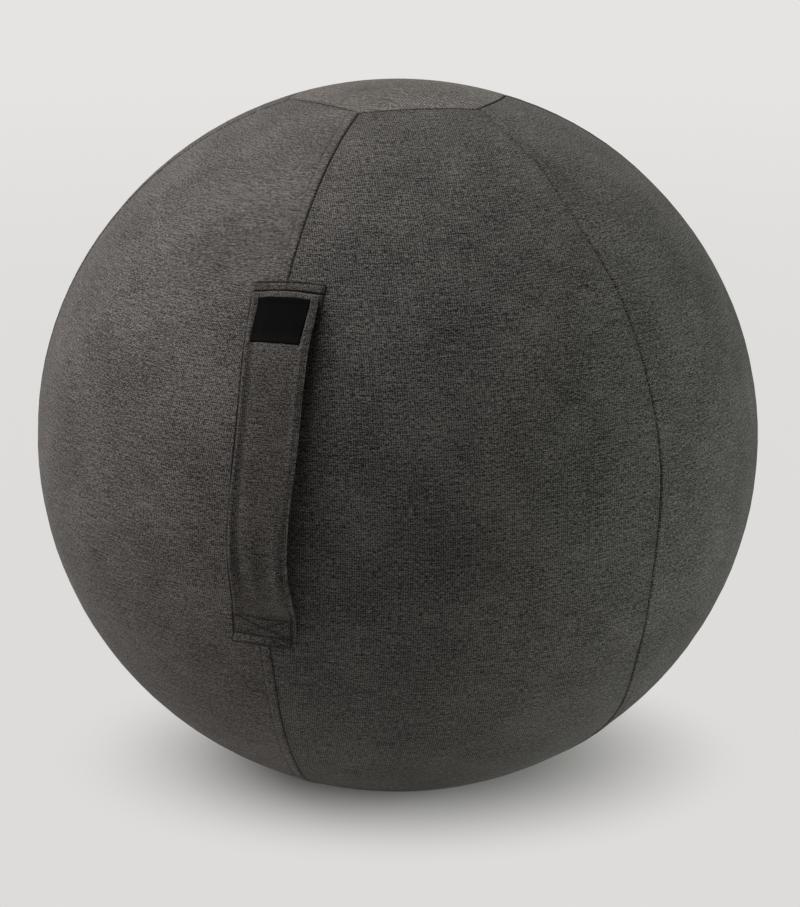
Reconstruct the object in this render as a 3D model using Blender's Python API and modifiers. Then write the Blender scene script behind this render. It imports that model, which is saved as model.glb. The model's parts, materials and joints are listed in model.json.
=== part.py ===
"""Sitting ball: an air-filled bladder in a sewn fabric cover with a carrying handle and a zip.

The ball stands on z = 0 with its axis along Z. The handle faces -Y and the zip is opposite, on +Y.
Lengths are in metres. Angles along the ball are in degrees from its top.
"""
import math

import bmesh
import bpy
from mathutils import Matrix, Vector

# Ball and cover
BALL_RADIUS = 0.325
HEIGHT_RATIO = 0.989
CONTACT_RADIUS = 0.055
CORNER_ANGLE = 17.8
COVER_THICKNESS = 0.0016
SEAM_GAP = 0.0005
CLEARANCE = 0.0003
GORES = ("gore_front_right", "gore_right", "gore_back_right",
         "gore_back_left", "gore_left", "gore_front_left")
# Seams, in degrees round from the handle: even sixths, but the left one is a little further back
SEAMS = (0, 60, 120, 180, 240, 293, 360)
AROUND = 48
ROWS = 32

# Bladder and its valve
BLADDER_WALL = 0.001
BLADDER_AROUND = 24
BLADDER_ROWS = 16
VALVE_ANGLE = 116.0
VALVE_BORE = 0.004
VALVE_TUBE = 0.008
VALVE_FLANGE = 0.0125
VALVE_FLANGE_THICKNESS = 0.0012
PLUG_HEAD = 0.0062
PLUG_HEAD_THICKNESS = 0.0006
PLUG_LENGTH = 0.012

# Zip, from its upper end to its lower end
ZIP_UPPER = 86.0
ZIP_LOWER = 148.0
TAPE_WIDTH = 0.009
TAPE_THICKNESS = 0.0007
COIL_WIDTH = 0.0028
COIL_HEIGHT = 0.0022
STOP_LENGTH = 0.003
STOP_MARGIN = 0.002
SLIDER_LENGTH = 0.011
SLIDER_POST = 0.001
SLIDER_PLATE = 0.0011
BAIL_WIDTH = 0.0016
BAIL_BAR = 0.001
PULL_WIDTH = 0.008
PULL_LENGTH = 0.026
PULL_THICKNESS = 0.0012

# Handle, from its upper end to its lower end
HANDLE_UPPER = 52.6
STRAP_UPPER = 53.9
GRIP_UPPER = 63.0
GRIP_LOWER = 92.0
STRAP_LOWER = 98.9
HANDLE_LOWER = 103.3
STRAP_WIDTH = 0.053
STRAP_THICKNESS = 0.0044
SLEEVE_WALL = 0.0012
HEM_THICKNESS = 0.0015
HEM_LENGTH = 4.4
HAND_GAP = 0.0125
LABEL_WIDTH = 0.041
LABEL_HEIGHT = 0.0355
LABEL_THICKNESS = 0.0006
LABEL_MARGIN = 0.004

# Sizes that follow from those above
HALF_HEIGHT = BALL_RADIUS * HEIGHT_RATIO
CENTRE_HEIGHT = HALF_HEIGHT * math.sqrt(1 - (CONTACT_RADIUS / BALL_RADIUS) ** 2)
CENTRE = Vector((0, 0, CENTRE_HEIGHT))
TAPE_TOP = -(COVER_THICKNESS - TAPE_THICKNESS) / 2
TAPE_BOTTOM = TAPE_TOP - TAPE_THICKNESS
BLADDER_INSET = CLEARANCE + SLIDER_PLATE + CLEARANCE - TAPE_BOTTOM
COIL_INNER = SLIDER_POST / 2 + CLEARANCE
COIL_OUTER = COIL_INNER + COIL_WIDTH
COIL_BOTTOM = TAPE_TOP + CLEARANCE
COIL_TOP = COIL_BOTTOM + COIL_HEIGHT
TAPE_OUTER = COIL_INNER + TAPE_WIDTH
LEG_LIFT = CLEARANCE + HEM_THICKNESS + CLEARANCE

for old in list(bpy.data.objects):
    bpy.data.objects.remove(old, do_unlink=True)
ball = bpy.data.collections.new("Sitting ball")
cutters = bpy.data.collections.new("Cutters")
bpy.context.scene.collection.children.link(ball)
bpy.context.scene.collection.children.link(cutters)


def material(name, colour, roughness, metallic=0.0):
    """One plain surface."""
    mat = bpy.data.materials.new(name)
    mat.use_nodes = True
    shader = mat.node_tree.nodes["Principled BSDF"]
    shader.inputs["Base Color"].default_value = (*colour, 1)
    shader.inputs["Roughness"].default_value = roughness
    shader.inputs["Metallic"].default_value = metallic
    return mat


def make_object(name, bm, mat=None, origin=(0, 0, 0)):
    """Object from a mesh in the ball's frame, with its own origin. Without a material it is a cutter."""
    bmesh.ops.translate(bm, vec=-Vector(origin), verts=bm.verts)
    mesh = bpy.data.meshes.new(name)
    bm.to_mesh(mesh)
    bm.free()
    obj = bpy.data.objects.new(name, mesh)
    obj.location = origin
    if mat is None:
        cutters.objects.link(obj)
        obj.hide_render = True
        obj.display_type = "WIRE"
    else:
        mesh.materials.append(mat)
        ball.objects.link(obj)
    return obj


def boolean(obj, tool, operation):
    """Exact Boolean of one object with another."""
    mod = obj.modifiers.new(operation.title(), "BOOLEAN")
    mod.solver = "EXACT"
    mod.operation = operation
    mod.object = tool


def everything(bm):
    """All the geometry of a mesh, as the mesh tools take it."""
    return bm.verts[:] + bm.edges[:] + bm.faces[:]


def meridian(angle, side, lift=0.0):
    """Point of the cover's outline at x = 0, lifted off it. side is -1 at the handle, 1 at the zip."""
    turn = math.radians(angle)
    normal = Vector((0, side * math.sin(turn) / BALL_RADIUS, math.cos(turn) / HALF_HEIGHT)).normalized()
    spot = Vector((0, side * BALL_RADIUS * math.sin(turn), HALF_HEIGHT * math.cos(turn)))
    return CENTRE + spot + normal * lift


def circle_through(first, second, third):
    """Centre of the circle through three points."""
    a = second - first
    b = third - first
    axis = a.cross(b)
    across = axis.cross(a) * b.length_squared + b.cross(axis) * a.length_squared
    return first + across / (2 * axis.length_squared)


def bearing(centre, point):
    """Angle of a point about an axis along X."""
    return math.atan2(point.z - centre.z, point.y - centre.y)


def ball_surface(lift, floor, around, rows):
    """Surface of the inflated ball: an ellipsoid pressed flat where it stands."""
    bm = bmesh.new()
    bmesh.ops.create_uvsphere(bm, u_segments=around, v_segments=rows, radius=1.0)
    radius = BALL_RADIUS + lift
    bmesh.ops.scale(bm, vec=(radius, radius, HALF_HEIGHT + lift), verts=bm.verts)
    bmesh.ops.translate(bm, vec=CENTRE, verts=bm.verts)
    bmesh.ops.bisect_plane(bm, geom=everything(bm), plane_co=(0, 0, floor), plane_no=(0, 0, 1))
    for vert in bm.verts:
        vert.co.z = max(vert.co.z, floor)
    return bm


def shell(name, planes, mat, lift=0.0, thickness=COVER_THICKNESS):
    """Part of the ball's surface on the inner side of some planes, made a sheet of cloth."""
    bm = ball_surface(lift, 0.0, AROUND, ROWS)
    for point, normal in planes:
        bmesh.ops.bisect_plane(bm, geom=everything(bm), plane_co=point, plane_no=normal, clear_outer=True)
    bmesh.ops.remove_doubles(bm, verts=bm.verts, dist=0.00002)
    obj = make_object(name, bm, mat)
    mod = obj.modifiers.new("Cloth", "SOLIDIFY")
    mod.thickness = thickness
    mod.offset = -1
    mod.use_even_offset = True
    return obj


def sweep(name, section, centre, start, end, mat=None, rounding=0.0, rounds=2):
    """Section of (x, radius) corners, swept about an axis along X from one bearing to another."""
    bm = bmesh.new()
    out = Vector((0, math.cos(start), math.sin(start)))
    bm.faces.new([bm.verts.new(centre + Vector((x, 0, 0)) + out * radius) for x, radius in section])
    if rounding > 0:
        bmesh.ops.bevel(bm, geom=bm.verts[:], offset=rounding, segments=rounds, profile=0.5,
                        affect="VERTICES")
    steps = max(1, round(math.degrees(abs(end - start)) / 2.5))
    bmesh.ops.spin(bm, geom=everything(bm), cent=centre, axis=(1, 0, 0), angle=end - start, steps=steps)
    bmesh.ops.recalc_face_normals(bm, faces=bm.faces)
    return make_object(name, bm, mat)


def rectangle(low_x, high_x, low_radius, high_radius):
    """Corners of a section."""
    return [(low_x, low_radius), (high_x, low_radius), (high_x, high_radius), (low_x, high_radius)]


def prism(outline, direction):
    """Flat outline of points, drawn out along a direction."""
    bm = bmesh.new()
    face = bm.faces.new([bm.verts.new(point) for point in outline])
    drawn = bmesh.ops.extrude_face_region(bm, geom=[face])
    moved = [item for item in drawn["geom"] if isinstance(item, bmesh.types.BMVert)]
    bmesh.ops.translate(bm, vec=direction, verts=moved)
    bmesh.ops.recalc_face_normals(bm, faces=bm.faces)
    return bm


def block(low, high):
    """Box between two corners."""
    outline = [(low[0], low[1], low[2]), (high[0], low[1], low[2]),
               (high[0], high[1], low[2]), (low[0], high[1], low[2])]
    return prism([Vector(corner) for corner in outline], Vector((0, 0, high[2] - low[2])))


def turned(name, profile, frame, mat=None, closed=False):
    """Turned piece from a profile of (radius, height) points, stood on a frame."""
    mesh = bpy.data.meshes.new(name)
    count = len(profile)
    edges = [(i, (i + 1) % count) for i in range(count if closed else count - 1)]
    mesh.from_pydata([(radius, 0, height) for radius, height in profile], edges, [])
    obj = bpy.data.objects.new(name, mesh)
    obj.matrix_world = frame
    mod = obj.modifiers.new("Turned", "SCREW")
    mod.steps = 24
    mod.render_steps = 24
    mod.use_merge_vertices = True
    mod.merge_threshold = 0.00001
    if mat is None:
        cutters.objects.link(obj)
        obj.hide_render = True
        obj.display_type = "WIRE"
    else:
        mesh.materials.append(mat)
        ball.objects.link(obj)
    return obj


cover_cloth = material("Melange cover cloth", (0.072, 0.066, 0.060), 0.9)
base_cloth = material("Coated base cloth", (0.020, 0.020, 0.021), 0.8)
bladder_vinyl = material("Bladder vinyl", (0.18, 0.19, 0.20), 0.45)
valve_vinyl = material("Valve vinyl", (0.75, 0.75, 0.73), 0.4)
zip_tape = material("Zip tape", (0.030, 0.029, 0.028), 0.85)
zip_nylon = material("Zip nylon", (0.024, 0.023, 0.023), 0.5)
zip_metal = material("Zip metal", (0.10, 0.10, 0.10), 0.35, 1.0)
webbing_mat = material("Webbing", (0.05, 0.05, 0.05), 0.9)
label_mat = material("Label cloth", (0.010, 0.010, 0.011), 0.6)


def seam_side(longitude):
    """Direction of growing longitude at a seam. Longitude 0 is the handle, and grows towards +X."""
    turn = math.radians(longitude)
    return Vector((math.cos(turn), math.sin(turn), 0))


def corner(longitude, pole):
    """Corner of the top panel (pole 1) or base panel (pole -1), from the ball's centre."""
    turn = math.radians(longitude)
    lean = math.radians(CORNER_ANGLE)
    reach = BALL_RADIUS * math.sin(lean)
    return Vector((reach * math.sin(turn), -reach * math.cos(turn), pole * HALF_HEIGHT * math.cos(lean)))


def end_edge(number, pole):
    """Direction square to the edge between one gore and an end panel, towards that panel."""
    first = corner(SEAMS[number], pole)
    last = corner(SEAMS[number + 1], pole)
    square = first.cross(last).normalized()
    return square if square.z * pole > 0 else -square


# Cover: six gores, sewn to each other and to a six-sided panel at the top and at the base
half_gap = SEAM_GAP / 2
gores = {}
for number, gore_name in enumerate(GORES):
    near = seam_side(SEAMS[number])
    far = seam_side(SEAMS[number + 1])
    limits = [(near * half_gap, -near), (-far * half_gap, far)]
    for pole in (1, -1):
        square = end_edge(number, pole)
        limits.append((CENTRE - square * half_gap, square))
    gores[gore_name] = shell(gore_name, limits, cover_cloth)
for end_name, pole, cloth in (("top_panel", 1, cover_cloth), ("base_panel", -1, base_cloth)):
    limits = []
    for number in range(len(GORES)):
        square = end_edge(number, pole)
        limits.append((CENTRE + square * half_gap, -square))
    shell(end_name, limits, cloth)

# Bladder: a hollow ball that stands on the base panel, with its valve beside the zip
bladder_floor = COVER_THICKNESS + CLEARANCE
bladder_bm = ball_surface(-BLADDER_INSET, bladder_floor, BLADDER_AROUND, BLADDER_ROWS)
bladder = make_object("bladder", bladder_bm, bladder_vinyl)
wall = bladder.modifiers.new("Wall", "SOLIDIFY")
wall.thickness = BLADDER_WALL
wall.offset = -1
row = math.floor(VALVE_ANGLE / (180 / BLADDER_ROWS))
facet = []
for column_side in (0, 1):
    for row_side in (0, 1):
        longitude = math.radians(180 + 360 / BLADDER_AROUND * column_side)
        turn = math.radians(180 / BLADDER_ROWS * (row + row_side))
        reach = (BALL_RADIUS - BLADDER_INSET) * math.sin(turn)
        height = (HALF_HEIGHT - BLADDER_INSET) * math.cos(turn)
        facet.append(CENTRE + Vector((reach * math.sin(longitude), -reach * math.cos(longitude), height)))
valve_out = (facet[1] - facet[0]).cross(facet[2] - facet[0]).normalized()
valve_spot = (facet[0] + facet[1] + facet[2] + facet[3]) / 4
if valve_out.dot(valve_spot - CENTRE) < 0:
    valve_out = -valve_out
valve_frame = Matrix.Translation(valve_spot) @ valve_out.to_track_quat("Z", "Y").to_matrix().to_4x4()
hole = VALVE_TUBE + CLEARANCE
hole_deep = 4 * BLADDER_WALL
hole_profile = [(0, hole_deep), (hole, hole_deep), (hole, -hole_deep), (0, -hole_deep)]
boolean(bladder, turned("valve_hole", hole_profile, valve_frame), "DIFFERENCE")
flange_top = -(BLADDER_WALL + CLEARANCE)
flange_bottom = flange_top - VALVE_FLANGE_THICKNESS
seat_floor = -(PLUG_HEAD_THICKNESS + CLEARANCE)
head_hole = PLUG_HEAD + CLEARANCE
seat_profile = [(head_hole, 0), (VALVE_TUBE, 0), (VALVE_TUBE, flange_top), (VALVE_FLANGE, flange_top),
                (VALVE_FLANGE, flange_bottom), (VALVE_BORE, flange_bottom), (VALVE_BORE, seat_floor),
                (head_hole, seat_floor)]
turned("valve_seat", seat_profile, valve_frame, valve_vinyl, closed=True)
stem = VALVE_BORE - CLEARANCE
plug_profile = [(0, 0), (PLUG_HEAD, 0), (PLUG_HEAD, -PLUG_HEAD_THICKNESS), (stem, -PLUG_HEAD_THICKNESS),
                (stem * 0.85, -PLUG_LENGTH), (0, -PLUG_LENGTH)]
turned("valve_plug", plug_profile, valve_frame, valve_vinyl)

# Zip: two tapes with coils in the back seam, on the circle that best follows the ball there
zip_middle = (ZIP_UPPER + ZIP_LOWER) / 2
zip_centre = circle_through(meridian(ZIP_UPPER, 1), meridian(zip_middle, 1), meridian(ZIP_LOWER, 1))
zip_radius = (meridian(zip_middle, 1) - zip_centre).length
zip_start = bearing(zip_centre, meridian(ZIP_UPPER, 1))
zip_end = bearing(zip_centre, meridian(ZIP_LOWER, 1))
zip_length = (zip_start - zip_end) * zip_radius


def zip_bearing(along):
    """Bearing of a place on the zip, by its distance from the upper end."""
    return zip_start - along / zip_radius


opening_half = TAPE_OUTER + CLEARANCE
opening_deep = 3 * COVER_THICKNESS
opening = rectangle(-opening_half, opening_half, zip_radius - opening_deep, zip_radius + opening_deep)
zip_opening = sweep("zip_opening", opening, zip_centre, zip_start, zip_end)
boolean(gores["gore_back_right"], zip_opening, "DIFFERENCE")
boolean(gores["gore_back_left"], zip_opening, "DIFFERENCE")
coil_start = STOP_MARGIN + STOP_LENGTH + CLEARANCE
coil_end = zip_length - coil_start
for side_name, side in (("right", 1), ("left", -1)):
    tape_edges = sorted((side * COIL_INNER, side * TAPE_OUTER))
    tape_section = rectangle(*tape_edges, zip_radius + TAPE_BOTTOM, zip_radius + TAPE_TOP)
    tape_start = zip_bearing(CLEARANCE)
    tape_end = zip_bearing(zip_length - CLEARANCE)
    sweep("zip_tape_" + side_name, tape_section, zip_centre, tape_start, tape_end, zip_tape)
    coil_edges = sorted((side * COIL_INNER, side * COIL_OUTER))
    coil_section = rectangle(*coil_edges, zip_radius + COIL_BOTTOM, zip_radius + COIL_TOP)
    sweep("zip_coil_" + side_name, coil_section, zip_centre, zip_bearing(coil_start), zip_bearing(coil_end),
          zip_nylon, rounding=COIL_WIDTH / 5, rounds=1)


def zip_frame(along, lift):
    """Frame on the zip: X across it, Y down along it and Z out of it."""
    turn = zip_bearing(along)
    out = Vector((0, math.cos(turn), math.sin(turn)))
    down = Vector((0, math.sin(turn), -math.cos(turn)))
    spot = zip_centre + out * (zip_radius + lift)
    return Matrix(((1, 0, 0, spot.x), (0, down.y, out.y, spot.y), (0, down.z, out.z, spot.z), (0, 0, 0, 1)))


def on_zip(bm, along, lift=0.0):
    """Mesh moved from the zip's own frame into the ball's."""
    bmesh.ops.transform(bm, matrix=zip_frame(along, lift), verts=bm.verts)
    return bm


for side_name, side in (("right", 1), ("left", -1)):
    edges = sorted((side * COIL_INNER, side * COIL_OUTER))
    stop = block((edges[0], -STOP_LENGTH / 2, COIL_BOTTOM), (edges[1], STOP_LENGTH / 2, COIL_TOP))
    make_object("zip_top_stop_" + side_name, on_zip(stop, STOP_MARGIN + STOP_LENGTH / 2), zip_metal)
bottom_stop = block((-COIL_OUTER, -STOP_LENGTH / 2, COIL_BOTTOM), (COIL_OUTER, STOP_LENGTH / 2, COIL_TOP))
make_object("zip_bottom_stop", on_zip(bottom_stop, zip_length - STOP_MARGIN - STOP_LENGTH / 2), zip_metal)

# Slider: two plates joined by a post between the coils, with side walls and a bail on top
slider_along = coil_start + CLEARANCE + SLIDER_LENGTH / 2
plate_bottom = COIL_TOP + CLEARANCE
plate_top = plate_bottom + SLIDER_PLATE
back_top = TAPE_BOTTOM - CLEARANCE
back_bottom = back_top - SLIDER_PLATE
wall_inner = COIL_OUTER + CLEARANCE
wall_outer = wall_inner + SLIDER_PLATE
half_post = SLIDER_POST / 2
half_section = [(half_post, back_top), (half_post, plate_bottom), (wall_inner, plate_bottom),
                (wall_inner, COIL_BOTTOM), (wall_outer, COIL_BOTTOM), (wall_outer, plate_top)]
mirrored = [(-x, z) for x, z in reversed(half_section)]
under = [(-wall_outer, back_top), (-wall_outer, back_bottom), (wall_outer, back_bottom),
         (wall_outer, back_top)]
outline = [Vector((x, -SLIDER_LENGTH / 2, z)) for x, z in half_section + mirrored + under]
slider_bm = on_zip(prism(outline, Vector((0, SLIDER_LENGTH, 0))), slider_along)
slider = make_object("zip_slider", slider_bm, zip_metal, zip_centre)
bar_swing = PULL_THICKNESS * 0.75
pivot_lift = plate_top + CLEARANCE + bar_swing
bail_inner = pivot_lift + bar_swing + CLEARANCE
bail_outer = bail_inner + BAIL_BAR
bail_half = bar_swing + CLEARANCE
bail_end = bail_half + BAIL_BAR
sunk = plate_top - SLIDER_PLATE / 2
bail = [(-bail_end, sunk), (-bail_end, bail_outer), (bail_end, bail_outer), (bail_end, sunk),
        (bail_half, sunk), (bail_half, bail_inner), (-bail_half, bail_inner), (-bail_half, sunk)]
bail_outline = [Vector((-BAIL_WIDTH / 2, y, z)) for y, z in bail]
bail_bm = on_zip(prism(bail_outline, Vector((BAIL_WIDTH, 0, 0))), slider_along)
boolean(slider, make_object("zip_bail", bail_bm), "UNION")

# Pull: a flat tab that hangs from the bail by the bar above its window
half_bar = PULL_THICKNESS / 2
window_half = BAIL_WIDTH / 2 + 4 * CLEARANCE
window_far = bail_end + BAIL_BAR
pull_bm = block((-PULL_WIDTH / 2, -half_bar, -half_bar), (PULL_WIDTH / 2, PULL_LENGTH, half_bar))
pivot = zip_frame(slider_along, pivot_lift).translation
pull = make_object("zip_pull", on_zip(pull_bm, slider_along, pivot_lift), zip_metal, pivot)
window_bm = block((-window_half, half_bar, -PULL_THICKNESS), (window_half, window_far, PULL_THICKNESS))
boolean(pull, make_object("zip_pull_window", on_zip(window_bm, slider_along, pivot_lift)), "DIFFERENCE")


def across_ball(angle, way):
    """Plane through the ball's centre that ends a strip: way is -1 at its upper end, 1 at its lower."""
    spot = meridian(angle, -1) - CENTRE
    return CENTRE, Vector((1, 0, 0)).cross(spot).normalized() * way


def strip_on_ball(name, upper_plane, lower_plane, thickness):
    """Flat end of the handle, sewn down on the ball between two planes."""
    side = Vector((1, 0, 0))
    half = STRAP_WIDTH / 2
    limits = [upper_plane, lower_plane, (side * half, side), (-side * half, -side)]
    limits.append((CENTRE, Vector((0, 1, 0))))
    return shell(name, limits, cover_cloth, CLEARANCE + thickness, thickness)


# Handle: a hemmed upper end and a flat lower end sewn to the ball, with the strap bowed out between them
grip_middle = (GRIP_UPPER + GRIP_LOWER) / 2
strap_ends = (meridian(STRAP_UPPER, -1, LEG_LIFT), meridian(grip_middle, -1, HAND_GAP),
              meridian(STRAP_LOWER, -1, CLEARANCE))
strap_centre = circle_through(*strap_ends)
strap_inner = (strap_ends[1] - strap_centre).length
strap_outer = strap_inner + STRAP_THICKNESS
half_break = CLEARANCE / 2 / strap_inner


def strap_bearing(angle):
    """Bearing on the strap's circle of an angle along the ball."""
    turn = bearing(strap_centre, meridian(angle, -1, HAND_GAP))
    return turn if turn > 0 else turn + 2 * math.pi


upper_turn = strap_bearing(STRAP_UPPER)
grip_top_turn = strap_bearing(GRIP_UPPER)
grip_low_turn = strap_bearing(GRIP_LOWER)
lower_turn = bearing(strap_centre, strap_ends[2]) % (2 * math.pi)
lower_way = Vector((0, -math.sin(lower_turn), math.cos(lower_turn)))
lower_start = (strap_ends[2] + lower_way * CLEARANCE, -lower_way)
strip_on_ball("handle_upper_end", across_ball(HANDLE_UPPER, -1),
              across_ball(HANDLE_UPPER + HEM_LENGTH, 1), HEM_THICKNESS)
strip_on_ball("handle_lower_end", lower_start, across_ball(HANDLE_LOWER, 1), STRAP_THICKNESS)
half_strap = STRAP_WIDTH / 2
strap_section = rectangle(-half_strap, half_strap, strap_inner, strap_outer)
round_edge = STRAP_THICKNESS * 0.45
sweep("handle_upper_leg", strap_section, strap_centre, upper_turn, grip_top_turn - half_break, cover_cloth,
      round_edge)
grip = sweep("handle_grip", strap_section, strap_centre, grip_top_turn + half_break,
             grip_low_turn - half_break, cover_cloth, round_edge)
sweep("handle_lower_leg", strap_section, strap_centre, grip_low_turn + half_break, lower_turn, cover_cloth,
      round_edge)
pocket_half = half_strap - 2 * SLEEVE_WALL
pocket = rectangle(-pocket_half, pocket_half, strap_inner + SLEEVE_WALL, strap_outer - SLEEVE_WALL)
pocket_past = 4 * CLEARANCE / strap_inner
boolean(grip, sweep("grip_pocket", pocket, strap_centre, grip_top_turn - pocket_past,
                    grip_low_turn + pocket_past), "DIFFERENCE")
webbing = rectangle(-pocket_half + CLEARANCE, pocket_half - CLEARANCE,
                    strap_inner + SLEEVE_WALL + CLEARANCE, strap_outer - SLEEVE_WALL - CLEARANCE)
sweep("handle_webbing", webbing, strap_centre, grip_top_turn + half_break, grip_low_turn - half_break,
      webbing_mat)

# Label: a plain sewn-on patch near the top of the strap
label_base = strap_outer + CLEARANCE
label_start = upper_turn + LABEL_MARGIN / strap_outer
label_section = rectangle(-LABEL_WIDTH / 2, LABEL_WIDTH / 2, label_base, label_base + LABEL_THICKNESS)
sweep("handle_label", label_section, strap_centre, label_start, label_start + LABEL_HEIGHT / strap_outer,
      label_mat)
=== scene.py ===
"""Looks of a sitting ball: a sewn melange cover with a carrying strap, over an air-filled bladder."""
import json
import math

import bmesh
import bpy
import numpy as np
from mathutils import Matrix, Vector

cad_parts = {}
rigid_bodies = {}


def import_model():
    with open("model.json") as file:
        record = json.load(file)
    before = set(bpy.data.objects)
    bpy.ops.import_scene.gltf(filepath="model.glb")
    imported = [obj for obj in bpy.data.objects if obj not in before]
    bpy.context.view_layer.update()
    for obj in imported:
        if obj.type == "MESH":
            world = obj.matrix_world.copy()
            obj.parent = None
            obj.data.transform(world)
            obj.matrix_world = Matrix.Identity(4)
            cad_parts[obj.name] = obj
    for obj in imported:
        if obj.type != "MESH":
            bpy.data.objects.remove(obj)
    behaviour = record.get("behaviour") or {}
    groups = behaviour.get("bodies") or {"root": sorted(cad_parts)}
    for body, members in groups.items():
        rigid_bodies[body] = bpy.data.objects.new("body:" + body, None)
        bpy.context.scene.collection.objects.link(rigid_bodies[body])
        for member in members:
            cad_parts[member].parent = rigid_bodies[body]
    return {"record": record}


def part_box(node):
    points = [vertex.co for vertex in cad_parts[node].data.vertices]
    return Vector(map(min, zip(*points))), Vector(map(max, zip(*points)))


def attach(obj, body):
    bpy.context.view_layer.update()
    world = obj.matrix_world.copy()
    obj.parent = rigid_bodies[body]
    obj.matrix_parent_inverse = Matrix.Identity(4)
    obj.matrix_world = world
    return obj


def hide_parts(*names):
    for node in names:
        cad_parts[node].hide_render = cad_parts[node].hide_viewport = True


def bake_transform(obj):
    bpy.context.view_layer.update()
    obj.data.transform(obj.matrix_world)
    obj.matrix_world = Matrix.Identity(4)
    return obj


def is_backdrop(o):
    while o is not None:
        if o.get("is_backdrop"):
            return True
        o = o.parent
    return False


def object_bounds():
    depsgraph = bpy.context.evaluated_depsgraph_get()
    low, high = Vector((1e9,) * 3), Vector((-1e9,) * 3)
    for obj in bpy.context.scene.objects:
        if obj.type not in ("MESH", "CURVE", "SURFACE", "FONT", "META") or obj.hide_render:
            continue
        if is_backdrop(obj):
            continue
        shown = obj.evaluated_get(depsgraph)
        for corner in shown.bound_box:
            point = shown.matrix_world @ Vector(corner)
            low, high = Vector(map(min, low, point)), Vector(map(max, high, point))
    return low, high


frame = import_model()
cad_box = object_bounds()
scene = bpy.context.scene
scene.view_settings.view_transform = "Standard"
MM = 0.001

# Bladder: the air-filled ball inside, one moulded skin of soft vinyl, pumped tight against the cover.
# It is a little lower than it is wide, and stands on a flat patch. It is seen only with the cover open.
# Angles run down from the top of the ball, and longitude runs from the handle towards +X.
HEIGHT_RATIO = 0.989
BLADDER_WALL = 1.0 * MM
BLADDER_ROWS = 48
BLADDER_COLUMNS = 72
ball_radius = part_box("gore_right")[1][0]
half_height = ball_radius * HEIGHT_RATIO
centre = Vector((0, 0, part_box("top_panel")[1][2] - half_height))
bladder_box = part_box("bladder")


def on_ball(turn, longitude, lift=0.0, floor=0.0):
    """Points on the cover's outline, or lifted off it, as an array; nothing goes below the floor given."""
    turn, longitude, lift = np.broadcast_arrays(turn, longitude, lift)
    round_x = np.sin(turn) * np.sin(longitude)
    round_y = -np.sin(turn) * np.cos(longitude)
    out = np.stack([round_x / ball_radius, round_y / ball_radius, np.cos(turn) / half_height], -1)
    out /= np.linalg.norm(out, axis=-1, keepdims=True)
    spot = np.stack([round_x * ball_radius, round_y * ball_radius, np.cos(turn) * half_height + centre.z], -1)
    spot = spot + out * lift[..., None]
    spot[..., 2] = np.maximum(spot[..., 2], floor)
    return spot


def closed_object(name, vertices, faces):
    """Mesh object from closed shapes, given by their points and faces, with all its faces turned outwards."""
    mesh = bpy.data.meshes.new(name)
    mesh.from_pydata([tuple(v) for v in vertices], [], faces)
    mesh.shade_smooth()
    work = bmesh.new()
    work.from_mesh(mesh)
    bmesh.ops.recalc_face_normals(work, faces=work.faces)
    work.to_mesh(mesh)
    work.free()
    made = bpy.data.objects.new(name, mesh)
    scene.collection.objects.link(made)
    return made


def grid_object(name, points, weave=None, painted_shade=None, ring=False, capped=False):
    """Mesh object from rows of points. Weave is the cloth's own flat place of each point, in metres. Painted
    shade darkens the colour along a line of sewing, from 0 to 1; below 0 it is a painted highlight."""
    rows, columns = points.shape[:2]
    faces = []
    for row in range(rows - 1):
        for column in range(columns if ring else columns - 1):
            right = (column + 1) % columns
            faces.append((row * columns + column, (row + 1) * columns + column,
                          (row + 1) * columns + right, row * columns + right))
    if capped:
        faces.append(tuple(range(columns)))
        faces.append(tuple(range(rows * columns - 1, (rows - 1) * columns - 1, -1)))
    mesh = bpy.data.meshes.new(name)
    mesh.from_pydata(points.reshape(-1, 3).tolist(), [], faces)
    if weave is not None:
        flat = mesh.attributes.new("weave", "FLOAT_VECTOR", "POINT")
        flat.data.foreach_set("vector", weave.reshape(-1).astype(np.float32))
    if painted_shade is not None:
        sewn = mesh.attributes.new("painted_shade", "FLOAT", "POINT")
        sewn.data.foreach_set("value", painted_shade.reshape(-1).astype(np.float32))
    mesh.shade_smooth()
    work = bmesh.new()
    work.from_mesh(mesh)
    if capped:
        work.faces.ensure_lookup_table()
        for cap in work.faces[-2:]:
            cap.smooth = False
            for edge in cap.edges:
                edge.smooth = False
    bmesh.ops.remove_doubles(work, verts=work.verts, dist=1e-7)
    if capped:
        bmesh.ops.recalc_face_normals(work, faces=work.faces)
    work.to_mesh(mesh)
    work.free()
    made = bpy.data.objects.new(name, mesh)
    scene.collection.objects.link(made)
    return made


def thicken(piece, thickness):
    """Gives a surface the thickness of its cloth or skin, inwards."""
    skin = piece.modifiers.new("Thickness", "SOLIDIFY")
    skin.thickness = thickness
    skin.offset = -1


def linear(hex_colour):
    """sRGB hex colour as linear red, green, blue and alpha."""
    parts = [int(hex_colour[i:i + 2], 16) / 255 for i in (1, 3, 5)]
    return tuple(c / 12.92 if c <= 0.04045 else ((c + 0.055) / 1.055) ** 2.4 for c in parts) + (1.0,)


def add(tree, kind, settings=(), inputs=()):
    """Adds a node, with its settings and with values or links for its inputs."""
    made = tree.nodes.new(kind)
    for key, value in dict(settings).items():
        setattr(made, key, value)
    for key, value in dict(inputs).items():
        if isinstance(value, bpy.types.NodeSocket):
            tree.links.new(value, made.inputs[key])
        else:
            made.inputs[key].default_value = value
    return made


def new_material(name):
    """Empty material, with its node tree and output node."""
    made = bpy.data.materials.new(name)
    made.use_nodes = True
    made.node_tree.nodes.clear()
    return made, made.node_tree, made.node_tree.nodes.new("ShaderNodeOutputMaterial")


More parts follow.
